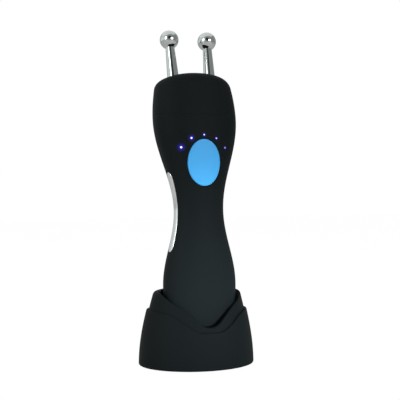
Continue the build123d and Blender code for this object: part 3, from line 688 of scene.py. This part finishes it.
# %% Sizes of the stand
STAND_FOOT_Z, RIM_Z, RIM_Y = 0.4, 46.5, -1.5
BASE, RIM = (73.2, 62.4), (57.4, 50.0)
SKIRT_WALL, SKIRT_ROUND, SKIRT_LIP, SKIRT_HEIGHT = 1.4, 1.0, 0.5, 30
FOOT_LIP_HEIGHT, FOOT_LIP_REACH, FOOT_LIP_EDGE = 1.4, 3.6, 2.2
SHELL_GAP, COLLAR_WALL, SHOULDER_ROUND, RIM_EDGE = 0.1, 2.0, 2.6, 0.15
PLATE_THICK, BALLAST_THICK, COLLAR_FLOOR = 2.0, 4.0, 2.0
LIP_WIDEN, LIP_DROP = 1.6, 3.0
RIM_PASSES = 12
COLLAR_RIM = [(0, 25.9), (5, 27.3), (10, 32.0), (15, 36.6), (22, 41.2), (27.5, 46.3)]
SKIRT_RIM = [(0, 23.0), (8, 23.6), (15, 27.8), (21, 32.2), (30.5, 34.8)]
STAND_COLUMNS = 200
print("stand:", BASE, "at its foot,", RIM, "at its rim, which is at", RIM_Z)


# %% Curves of the stand
def wave(points, x):
    """Height of a rim at x, on a smooth curve through its points that starts and ends level."""
    x = min(abs(x), points[-1][0])
    slopes = [0.0]
    for (x0, z0), (x1, z1) in zip(points, points[2:]):
        slopes.append((z1 - z0) / (x1 - x0))
    slopes.append(0.0)
    for i in range(len(points) - 1):
        (x0, z0), (x1, z1) = points[i], points[i + 1]
        if x <= x1:
            break
    run = x1 - x0
    t = (x - x0) / run
    start = z0 * (1 + 2 * t) * (1 - t) ** 2 + slopes[i] * run * t * (1 - t) ** 2
    return start + z1 * t * t * (3 - 2 * t) + slopes[i + 1] * run * t * t * (t - 1)


def stand_half(z, inset, shoulder):
    """Half width and half depth of the stand's outline at a height."""
    share = z / RIM_Z
    if shoulder:
        over = max(z - (RIM_Z - SHOULDER_ROUND), 0.0)
        inset += SHOULDER_ROUND - math.sqrt(max(SHOULDER_ROUND**2 - over**2, 0.0))
    return fall(BASE[0], RIM[0], share) / 2 - inset, fall(BASE[1], RIM[1], share) / 2 - inset


def rim_height(points, angle, inset):
    """Height of the rim on the column at an angle; the back half is level."""
    z = points[-1][1]
    if math.sin(angle) >= 0:
        return z
    for _ in range(RIM_PASSES):
        half_width = stand_half(z, inset, False)[0]
        z = wave(points, half_width * math.cos(angle))
    return z


def stand_point(station, angle):
    """A station is (rule, value, inset, scale): z itself, or a drop under the rim."""
    rule, value, inset, scale = station
    shoulder = rule in ("collar", "collar_wall")
    if rule == "z":
        z = value
    else:
        points = SKIRT_RIM if rule.startswith("skirt") else COLLAR_RIM
        rim = rim_height(points, angle, inset)
        if rule.endswith("wall"):
            low, share = value
            z = low + (rim - low) * share
        else:
            z = rim - value
    a, b = stand_half(z, inset, shoulder)
    middle = fall(0, RIM_Y, z / RIM_Z)
    return a * scale * math.cos(angle), middle + b * scale * math.sin(angle), z


print("lowest points of the rims:", wave(COLLAR_RIM, 0), "and", wave(SKIRT_RIM, 0))

# %% Skirt
plate_z = STAND_FOOT_Z + FOOT_LIP_HEIGHT
skirt_low = STAND_FOOT_Z + SKIRT_ROUND
wall_share = 1 - SKIRT_LIP / SKIRT_HEIGHT
skirt_stations = [("z", STAND_FOOT_Z, FOOT_LIP_REACH, 1), ("z", STAND_FOOT_Z, FOOT_LIP_EDGE, 1)]
for inset, rise in rounding(6):
    skirt_stations.append(("z", STAND_FOOT_Z + SKIRT_ROUND * rise, SKIRT_ROUND * inset, 1))
for share in steps(0.03, wall_share, 30):
    skirt_stations.append(("skirt_wall", (skirt_low, share), 0, 1))
for drop, inset in rounding(6):
    skirt_stations.append(("skirt", SKIRT_LIP * drop, SKIRT_LIP * inset, 1))
skirt_stations += [("skirt", 0, SKIRT_WALL - RIM_EDGE, 1), ("skirt", RIM_EDGE, SKIRT_WALL, 1)]
skirt_stations += [("skirt_wall", (plate_z, share), SKIRT_WALL, 1) for share in steps(0.96, 0, 12)]
skirt_stations += [("z", plate_z, FOOT_LIP_REACH, 1), ("z", STAND_FOOT_Z, FOOT_LIP_REACH, 1)]
skirt = ring_skin("stand_outer", STAND_COLUMNS, skirt_stations, stand_point)
print("skirt:", len(skirt.data.polygons), "faces")

# %% Collar
outer = SKIRT_WALL + SHELL_GAP
inner = outer + COLLAR_WALL
collar_low = plate_z + PLATE_THICK
floor_under = collar_low + BALLAST_THICK
floor_top = floor_under + COLLAR_FLOOR
lip_inner = inner + LIP_WIDEN
lip_round = COLLAR_WALL / 2
collar_stations = [("z", floor_under, inner, scale) for scale in steps(0, 1, 4)]
collar_stations += [("z", collar_low, inner, 1), ("z", collar_low, outer, 1)]
collar_stations += [("collar_wall", (collar_low, share), outer, 1) for share in steps(0.02, 0.96, 36)]
for drop, inset in rounding(6):
    collar_stations.append(("collar", lip_round * drop, outer + lip_round * inset, 1))
for inset, drop in rounding(6):
    collar_stations.append(("collar", lip_round * drop, lip_inner - lip_round * inset, 1))
collar_stations += [("collar", LIP_DROP, lip_inner, 1), ("collar", LIP_DROP, inner, 1)]
collar_stations += [("collar_wall", (floor_top, share), inner, 1) for share in steps(0.86, 0, 24)]
collar_stations += [("z", floor_top, inner, scale) for scale in steps(0.96, 0, 6)]
collar = ring_skin("stand_inner", STAND_COLUMNS, collar_stations, stand_point)
carve(collar, pocket)
for shell in (skirt, collar):
    smooth(shell, 40)
print("collar:", len(collar.data.polygons), "faces")

# %% [markdown]
# ## Shared effects
#
# Three effects are used more than once, so each is a node group with named inputs. The grain
# group gives moulded plastic its fine texture and a slow change of shade. The handling group
# gives polished metal faint smears. The glow group gives the light that spills on the plastic
# around one lit window.

# %% Building node groups
FLOAT, COLOUR, VECTOR = "NodeSocketFloat", "NodeSocketColor", "NodeSocketVector"


def feed(tree, node, inputs):
    """Fills inputs by name or number: a socket is linked, anything else is set as the value."""
    for key, value in inputs.items():
        if isinstance(value, bpy.types.NodeSocket):
            tree.links.new(value, node.inputs[key])
        else:
            node.inputs[key].default_value = value


def add_node(tree, kind, inputs=None, **settings):
    node = tree.nodes.new(kind)
    for setting, value in settings.items():
        setattr(node, setting, value)
    feed(tree, node, inputs or {})
    return node


def math_node(tree, operation, *values):
    """The result of a math node whose inputs are sockets or numbers."""
    return add_node(tree, "ShaderNodeMath", dict(enumerate(values)), operation=operation).outputs[0]


def vector_node(tree, operation, *values):
    """The outputs of a vector math node whose inputs are sockets or vectors."""
    return add_node(tree, "ShaderNodeVectorMath", dict(enumerate(values)), operation=operation).outputs


def scaled(tree, vector, share):
    node = add_node(tree, "ShaderNodeVectorMath", {0: vector, "Scale": share}, operation="SCALE")
    return node.outputs[0]


def new_group(name, inputs, outputs):
    group = bpy.data.node_groups.new(name, "ShaderNodeTree")
    for socket, kind, value in inputs:
        made = group.interface.new_socket(name=socket, in_out="INPUT", socket_type=kind)
        made.default_value = value
    for socket, kind in outputs:
        group.interface.new_socket(name=socket, in_out="OUTPUT", socket_type=kind)
    return group, group.nodes.new("NodeGroupInput").outputs, group.nodes.new("NodeGroupOutput")


# %% Grain of moulded plastic
def swing(tree, fac, change):
    """A noise from 0 to 1 turned into a change about 0."""
    return math_node(tree, "MULTIPLY", math_node(tree, "SUBTRACT", fac, 0.5), change)


grain, given, leave = new_group(
    "moulded_grain",
    [("Colour", COLOUR, (0.02, 0.02, 0.02, 1)), ("Shade Change", FLOAT, 0.1),
     ("Roughness", FLOAT, 0.4), ("Roughness Change", FLOAT, 0.08), ("Grain Scale", FLOAT, 2500.0)],
    [("Colour", COLOUR), ("Roughness", FLOAT), ("Height", FLOAT)],
)
coords = add_node(grain, "ShaderNodeTexCoord").outputs["Object"]
slow = add_node(grain, "ShaderNodeTexNoise", {"Vector": coords, "Scale": 45.0, "Detail": 3.0})
fine = add_node(grain, "ShaderNodeTexNoise",
                {"Vector": coords, "Scale": given["Grain Scale"], "Detail": 4.0})
shade = math_node(grain, "ADD", swing(grain, slow.outputs["Fac"], given["Shade Change"]), 1.0)
rough_swing = swing(grain, fine.outputs["Fac"], given["Roughness Change"])
feed(grain, leave, {
    "Colour": scaled(grain, given["Colour"], shade),
    "Roughness": math_node(grain, "ADD", given["Roughness"], rough_swing),
    "Height": fine.outputs["Fac"],
})
print("group:", grain.name, [socket.name for socket in given if socket.name])

# %% Smears of handling on polished metal
smears, given, leave = new_group(
    "handling_smears",
    [("Roughness", FLOAT, 0.08), ("Smear", FLOAT, 0.08), ("Smear Scale", FLOAT, 160.0),
     ("Streak", FLOAT, 6.0)],
    [("Roughness", FLOAT), ("Height", FLOAT)],
)
coords = add_node(smears, "ShaderNodeTexCoord").outputs["Object"]
pull = math_node(smears, "DIVIDE", 1.0, given["Streak"])
stretch = add_node(smears, "ShaderNodeCombineXYZ", {"X": 1.0, "Y": 1.0, "Z": pull}).outputs[0]
pulled = vector_node(smears, "MULTIPLY", coords, stretch)[0]
cloud = add_node(smears, "ShaderNodeTexNoise",
                 {"Vector": pulled, "Scale": given["Smear Scale"], "Detail": 5.0})
patch = math_node(smears, "MULTIPLY", cloud.outputs["Fac"], given["Smear"])
feed(smears, leave, {
    "Roughness": math_node(smears, "ADD", given["Roughness"], patch), "Height": cloud.outputs["Fac"],
})
print("group:", smears.name, [socket.name for socket in given if socket.name])

# %% Glow around a lit window
GLOW_POWER = 2.2
glow, given, leave = new_group(
    "window_glow",
    [("Place", VECTOR, (0, 0, 0)), ("Reach", FLOAT, 0.004), ("Strength", FLOAT, 1.0)],
    [("Mask", FLOAT)],
)
coords = add_node(glow, "ShaderNodeTexCoord").outputs["Object"]
away = vector_node(glow, "DISTANCE", coords, given["Place"])["Value"]
share = math_node(glow, "DIVIDE", away, given["Reach"])
near = add_node(glow, "ShaderNodeMath", {0: 1.0, 1: share}, operation="SUBTRACT", use_clamp=True)
soft = math_node(glow, "POWER", near.outputs[0], GLOW_POWER)
feed(glow, leave, {"Mask": math_node(glow, "MULTIPLY", soft, given["Strength"])})
print("group:", glow.name, [socket.name for socket in given if socket.name])

# %% [markdown]
# ## Finishes
#
# Every finish is a Principled shader. What is the same all over a piece is set on the shader
# itself, and what changes over it comes from the groups: a slow change of shade, fine grain in
# the roughness and a shallow bump. The black mouldings are a soft satin, not glossy.

# %% Making a finish
COAT_ROUGHNESS, FINISH_IOR = 0.1, 1.45
GRAIN_DEPTH, SMEAR_DEPTH = 0.06 * MM, 0.05 * MM


def new_finish(name, metallic=0.0, coat=0.0, specular=0.5):
    material = bpy.data.materials.new(name)
    material.use_nodes = True
    shader = material.node_tree.nodes["Principled BSDF"]
    feed(material.node_tree, shader, {
        "Metallic": metallic, "Coat Weight": coat, "Coat Roughness": COAT_ROUGHNESS,
        "Specular IOR Level": specular, "IOR": FINISH_IOR,
    })
    return material, material.node_tree, shader


def bump_from(tree, height, strength, distance):
    inputs = {"Strength": strength, "Distance": distance, "Height": height}
    return add_node(tree, "ShaderNodeBump", inputs).outputs["Normal"]


def plastic(name, colour, roughness, change=0.12, grain_scale=2500.0, bump=0.06, **shader_values):
    material, tree, shader = new_finish(name, **shader_values)
    made = add_node(tree, "ShaderNodeGroup", {
        "Colour": (*colour, 1), "Shade Change": change, "Roughness": roughness,
        "Grain Scale": grain_scale,
    }, node_tree=grain).outputs
    feed(tree, shader, {"Base Color": made["Colour"], "Roughness": made["Roughness"],
                        "Normal": bump_from(tree, made["Height"], bump, GRAIN_DEPTH)})
    return material


def metal(name, colour, roughness, smear, smear_scale=160.0, streak=6.0, bump=0.01):
    material, tree, shader = new_finish(name, metallic=1.0)
    made = add_node(tree, "ShaderNodeGroup", {
        "Roughness": roughness, "Smear": smear, "Smear Scale": smear_scale, "Streak": streak,
    }, node_tree=smears).outputs
    feed(tree, shader, {"Base Color": (*colour, 1), "Roughness": made["Roughness"],
                        "Normal": bump_from(tree, made["Height"], bump, SMEAR_DEPTH)})
    return material


# %% The finishes
handset_black = plastic("handset_black", (0.0042, 0.0064, 0.0072), 0.62, specular=0.1)
stand_black = plastic("stand_black", (0.003, 0.0046, 0.0052), 0.64, specular=0.1)
button_blue = plastic("button_blue", (0.054, 0.345, 0.72), 0.5, change=0.04, specular=0.25)
chrome = metal("probe_chrome", (0.56, 0.575, 0.565), 0.04, 0.06, bump=0.001)
strip_metal = metal("strip_metal", (0.8, 0.81, 0.81), 0.1, 0.06, streak=12.0, bump=0.002)
zinc = metal("zinc_plate", (0.62, 0.63, 0.65), 0.28, 0.2, smear_scale=900.0)
ballast_steel = metal("ballast_steel", (0.28, 0.28, 0.29), 0.5, 0.2, smear_scale=400.0)
copper = metal("copper_winding", (0.75, 0.36, 0.16), 0.3, 0.1, smear_scale=2500.0, streak=0.1)
rubber = plastic("soft_rubber", (0.018, 0.018, 0.019), 0.72, grain_scale=1600.0, bump=0.15,
                 specular=0.25)
dark_plastic = plastic("dark_plastic", (0.02, 0.02, 0.022), 0.5)
board_green = plastic("board_green", (0.016, 0.12, 0.05), 0.35, change=0.3, grain_scale=900.0)
cell_wrap = plastic("cell_wrap", (0.04, 0.11, 0.23), 0.3, change=0.05)
lamp_body = plastic("lamp_body", (0.7, 0.7, 0.75), 0.3)
print("materials, with those of the CAD:", len(bpy.data.materials))

# %% Light on the plastic around the windows
GLOWS = [(0.0036, 1.0), (0.0031, 0.8), (0.0021, 0.5), (0.002, 0.4), (0.0018, 0.3)]
GLOW_COLOUR = (0.03, 0.02, 0.62)

tree = handset_black.node_tree
total = None
for spot, (reach, strength) in zip(window_places, GLOWS):
    node = add_node(tree, "ShaderNodeGroup", {"Place": spot, "Reach": reach, "Strength": strength},
                    node_tree=glow)
    mask = node.outputs["Mask"]
    total = mask if total is None else math_node(tree, "ADD", total, mask)
feed(tree, tree.nodes["Principled BSDF"], {
    "Emission Color": scaled(tree, GLOW_COLOUR, total), "Emission Strength": 1.0,
})
print("glows:", len(GLOWS))

# %% Light in the windows
WHITE = (1, 1, 1, 1)
WINDOW_BODY, WINDOW_RIM, WINDOW_ROUGHNESS = (0.05, 0.04, 0.25, 1), (0.03, 0.02, 0.45, 1), 0.2
WINDOW_LIGHTS = [(1.6, 0.6, 1.0), (1.4, 0.45, 1.0), (1.3, 0.2, 0.75), (1.2, 0.15, 0.7),
                 (1.0, 0.05, 0.65)]


def window_finish(index, strength, core, rim):
    """A clear guide, white to its core and violet from its rim, both as shares of its radius."""
    material, tree, shader = new_finish(f"window_light_{index}", coat=0.5)
    coords = add_node(tree, "ShaderNodeTexCoord").outputs["Object"]
    away = vector_node(tree, "DISTANCE", coords, window_places[index - 1])["Value"]
    share = math_node(tree, "DIVIDE", away, WINDOW_RADIUS * MM)
    ramp = add_node(tree, "ShaderNodeValToRGB", {"Fac": share})
    for element, colour, place in zip(ramp.color_ramp.elements, (WHITE, WINDOW_RIM), (core, rim)):
        element.color, element.position = colour, place
    feed(tree, shader, {"Base Color": WINDOW_BODY, "Emission Color": ramp.outputs["Color"],
                        "Emission Strength": strength, "Roughness": WINDOW_ROUGHNESS})
    return material


window_finishes = [window_finish(i + 1, *light) for i, light in enumerate(WINDOW_LIGHTS)]
print("window finishes:", len(window_finishes))

# %% [markdown]
# ## Dressing the pieces
#
# Every new piece is hung on the CAD body it moves with, the CAD node it stands for is hidden,
# and it is given its finish. The CAD nodes that stay, most of them inside, get their finish here
# too.

# %% New pieces
def dress(piece, body, node, material):
    piece.data.materials.clear()
    piece.data.materials.append(material)
    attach(piece, body)
    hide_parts(node)


dress(front, "handset", "front_shell", handset_black)
dress(rear, "handset", "rear_shell", handset_black)
dress(cap, "handset", "head_cap", handset_black)
dress(button, "button", "button_cap", button_blue)
for piece, material in zip(windows, window_finishes):
    dress(piece, "handset", "light_guides", material)
for piece, node in zip(strips, ("side_contact_left", "side_contact_right")):
    dress(piece, "handset", node, strip_metal)
for piece, node in zip(probes, ("probe_left", "probe_right")):
    dress(piece, "handset", node, chrome)
dress(skirt, "stand", "stand_skirt", stand_black)
dress(collar, "stand", "stand_collar", stand_black)
print("new pieces:", len([front, rear, cap, button, skirt, collar] + windows + strips + probes))

# %% CAD nodes that stay
STAYING = {
    "handset_plastic": handset_black, "stand_plastic": stand_black, "blue_plastic": button_blue,
    "bright_steel": strip_metal, "chrome_plate": chrome, "zinc_steel": zinc,
    "ballast_steel": ballast_steel, "dark_plastic": dark_plastic, "clear_guide": lamp_body,
    "lamp_lens": lamp_body, "circuit_board": board_green, "copper_winding": copper,
    "cell_wrap": cell_wrap, "soft_rubber": rubber,
}
for subpart in frame["record"]["subparts"]:
    node = NODES[subpart["node"]]
    for slot in node.material_slots:
        slot.material = STAYING[subpart["material_slot"]]

# %% [markdown]
# ## Floor, backdrop and light
#
# The floor and the world are pale and plain. A ray from the camera, or one that comes through a
# clear piece, sees them white. A twentieth of what it sees of the floor is the lit floor itself,
# which leaves a trace of shadow. Polished metal sees only a part of that white. Light on the
# object comes from large soft lamps at a plain level: one on the left, one in front on the right,
# and one overhead. A low one in front lifts the grip and the stand, as light from a table does,
# and the metal doesn't mirror it.

# %% Floor
FLOOR_SIZE, FLOOR_GREY, FLOOR_ROUGHNESS, FLOOR_SPECULAR = 6.0, 0.6, 0.9, 0.1
FLOOR_LIGHT, VIEW_SHARE, MIRROR_SHARE = 1.03, 0.95, 0.15


def light_paths(tree):
    """Whether a ray comes from the camera or a clear piece, and whether from a glossy one."""
    rays = add_node(tree, "ShaderNodeLightPath").outputs
    plain = math_node(tree, "MAXIMUM", rays["Is Camera Ray"], rays["Is Transmission Ray"])
    return plain, rays["Is Glossy Ray"]


def choose(tree, fac, no, yes):
    return add_node(tree, "ShaderNodeMixShader", {0: fac, 1: no, 2: yes}).outputs[0]


deselect()
bpy.ops.mesh.primitive_plane_add(size=FLOOR_SIZE)
floor = bpy.context.object
floor.name = "floor"
floor_white = bpy.data.materials.new("floor_white")
floor_white.use_nodes = True
tree = floor_white.node_tree
lit = tree.nodes["Principled BSDF"]
feed(tree, lit, {"Base Color": (FLOOR_GREY, FLOOR_GREY, FLOOR_GREY, 1), "Roughness": FLOOR_ROUGHNESS,
                 "Specular IOR Level": FLOOR_SPECULAR})
shown = add_node(tree, "ShaderNodeEmission", {"Color": WHITE, "Strength": FLOOR_LIGHT})
plain_view, glossy_view = light_paths(tree)
white_share = math_node(tree, "MAXIMUM", math_node(tree, "MULTIPLY", plain_view, VIEW_SHARE),
                        math_node(tree, "MULTIPLY", glossy_view, MIRROR_SHARE))
surface = choose(tree, white_share, lit.outputs[0], shown.outputs[0])
feed(tree, tree.nodes["Material Output"], {"Surface": surface})
floor.data.materials.append(floor_white)
print("floor:", FLOOR_SIZE, "m square")

# %% [markdown]
# ## The room
#
# Polished metal shows the room around it, so the room gets a plain form. The backdrop behind the
# device and its sides are mid grey, lightest on the left, and a patch in front, above the viewer,
# is dark. The black mouldings take only a soft sheen from all this. What isn't mirrored comes
# from an even white.

# %% Form of the room
BEHIND, BESIDE, AHEAD, SHADE = 0.62, 0.46, 0.4, 0.12
LEFT_SHARE, EVEN_PLACE, RIGHT_SHARE = 2.1, 0.3, 0.75
SHADE_AIM, SHADE_START, SHADE_FULL = Vector((-0.185, -0.872, 0.454)), 0.9, 0.97
ROOM_TINT = (0.97, 1.0, 0.99)
DIFFUSE_LEVEL = 0.5
world = bpy.data.worlds.new("pale_room")
bpy.context.scene.world = world
world.use_nodes = True
tree = world.node_tree
tree.nodes.clear()


def room_ramp(fac, stops):
    """A soft ramp of pale greys over a socket; a stop is (place, level)."""
    ramp = add_node(tree, "ShaderNodeValToRGB", {"Fac": fac})
    ramp.color_ramp.interpolation = "EASE"
    elements = ramp.color_ramp.elements
    while len(elements) < len(stops):
        elements.new(0.5)
    for element, (place, level) in zip(elements, stops):
        element.position = place
        element.color = (*(level * share for share in ROOM_TINT), 1)
    return ramp.outputs["Color"]


def share_of(component):
    """A component of a direction, from -1 to 1, turned into a share from 0 to 1."""
    return math_node(tree, "MULTIPLY_ADD", component, 0.5, 0.5)


direction = add_node(tree, "ShaderNodeTexCoord").outputs["Generated"]
parts = add_node(tree, "ShaderNodeSeparateXYZ", {0: direction}).outputs
walls = room_ramp(share_of(parts["Y"]), [(0.0, AHEAD), (0.5, BESIDE), (1.0, BEHIND)])
sides = room_ramp(share_of(parts["X"]), [(0.0, LEFT_SHARE), (EVEN_PLACE, 1.0), (1.0, RIGHT_SHARE)])
toward = vector_node(tree, "DOT_PRODUCT", direction, SHADE_AIM)["Value"]
shaded = room_ramp(toward, [(SHADE_START, 1.0), (SHADE_FULL, SHADE)])
reflected = vector_node(tree, "MULTIPLY", vector_node(tree, "MULTIPLY", walls, sides)[0], shaded)[0]
print("room: behind", BEHIND, "beside", BESIDE, "ahead", AHEAD, "shade", SHADE)


# %% What each ray sees of the world
def background(colour, level):
    return add_node(tree, "ShaderNodeBackground", {"Color": colour, "Strength": level}).outputs[0]


plain_view, glossy_view = light_paths(tree)
room = choose(tree, glossy_view, background(WHITE, DIFFUSE_LEVEL), background(reflected, 1.0))
seen = choose(tree, plain_view, room, background(WHITE, 1.0))
add_node(tree, "ShaderNodeOutputWorld", {"Surface": seen})
print("world:", len(tree.nodes), "nodes")


# %% Lamps
def soft_lamp(name, place, aim, size, power, spread=180):
    bpy.ops.object.light_add(type="AREA", location=place)
    lamp = bpy.context.object
    lamp.name = name
    lamp.data.shape = "RECTANGLE"
    lamp.data.size, lamp.data.size_y = size
    lamp.data.energy = power
    lamp.data.spread = math.radians(spread)
    lamp.rotation_euler = (Vector(aim) - Vector(place)).to_track_quat("-Z", "Y").to_euler()
    return lamp


MIDDLE = (0, 0, 0.11)
soft_lamp("lamp_left", (-1.0, -0.55, 0.6), MIDDLE, (0.3, 0.6), 3.6)
soft_lamp("lamp_right", (0.35, -1.1, 0.5), MIDDLE, (0.5, 0.42), 4.6)
soft_lamp("lamp_over", (0.0, 0.3, 1.2), MIDDLE, (2.0, 1.6), 5.0)
bounce = soft_lamp("lamp_low", (0.06, -0.5, 0.04), (0, 0, 0.04), (0.1, 0.06), 0.1, spread=20)
bounce.visible_glossy = bounce.visible_camera = False
